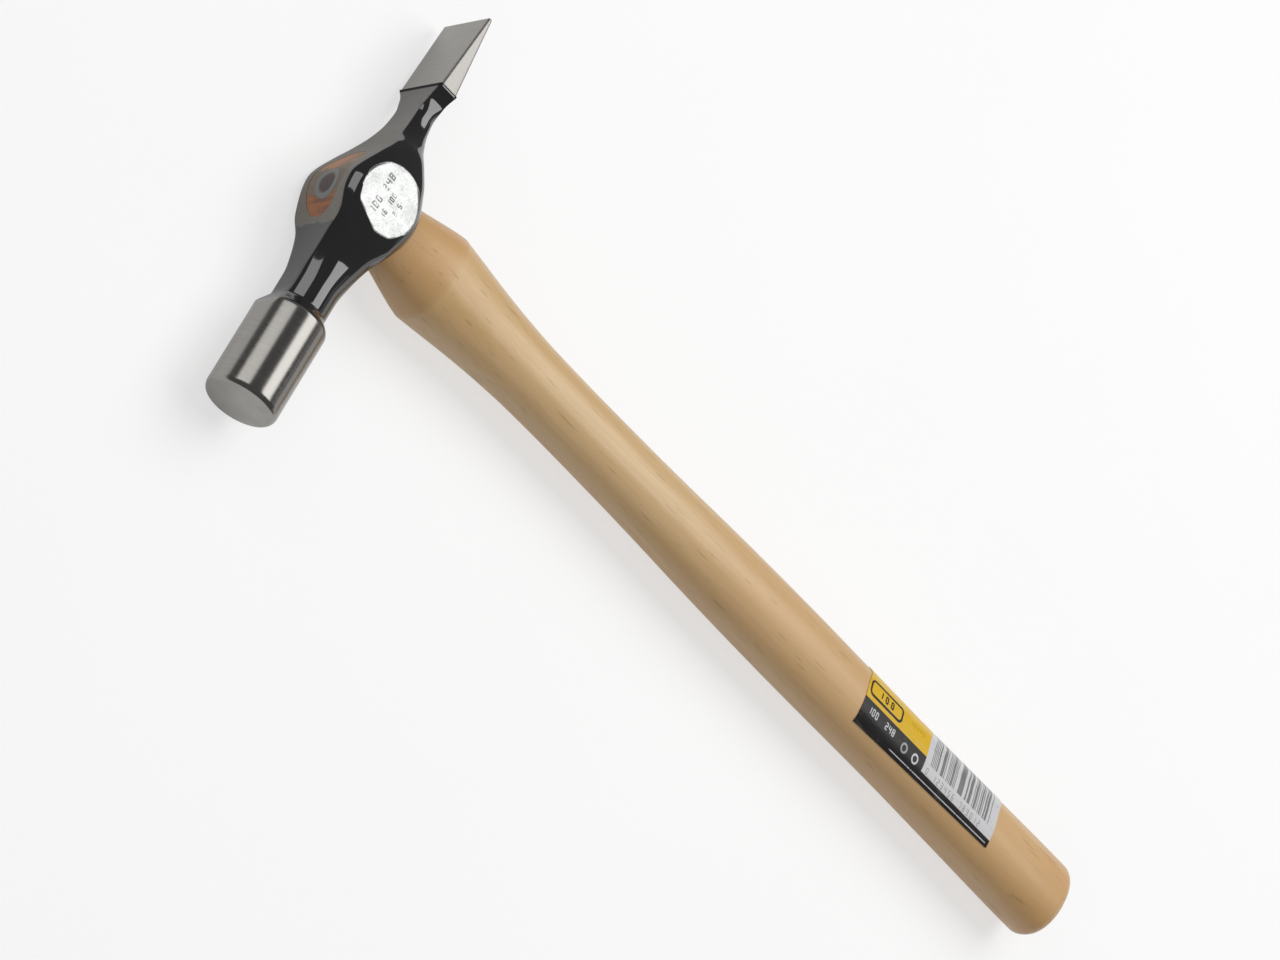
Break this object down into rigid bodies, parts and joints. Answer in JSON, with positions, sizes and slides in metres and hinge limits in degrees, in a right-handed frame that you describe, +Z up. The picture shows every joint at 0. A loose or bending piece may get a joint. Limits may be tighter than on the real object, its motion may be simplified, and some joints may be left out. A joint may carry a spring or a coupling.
{
  "type": "cross peen hammer",
  "caption": "Light cross peen hammer: forged steel head with a round poll, a wedge peen and ground cheeks, on a waisted oval wooden handle locked in the eye by a steel ring wedge.",
  "frame": {"origin": "on the lower ground cheek face, straight below the crossing of the head's axis and the handle's axis, with the hammer lying on its cheek", "axes": "+X from the eye down the handle to the butt, -Y out of the striking face, +Y out of the peen, +Z up through the two cheek faces"},
  "size_m": [0.2478, 0.1003, 0.0188],
  "materials": {
    "head_steel": "gloss black lacquer over the necks and eye, with a ground bright poll, peen and cheek faces",
    "handle_wood": "straight-grained ash with a clear gloss lacquer",
    "wedge_steel": "dull steel, ground flush with the head",
    "label_film": "printed self-adhesive film with yellow, black and pale grey fields"
  },
  "bodies": {
    "root": {"head": "head_steel", "handle": "handle_wood", "ring_wedge": "wedge_steel", "label": "label_film"}
  },
  "joints": []
}
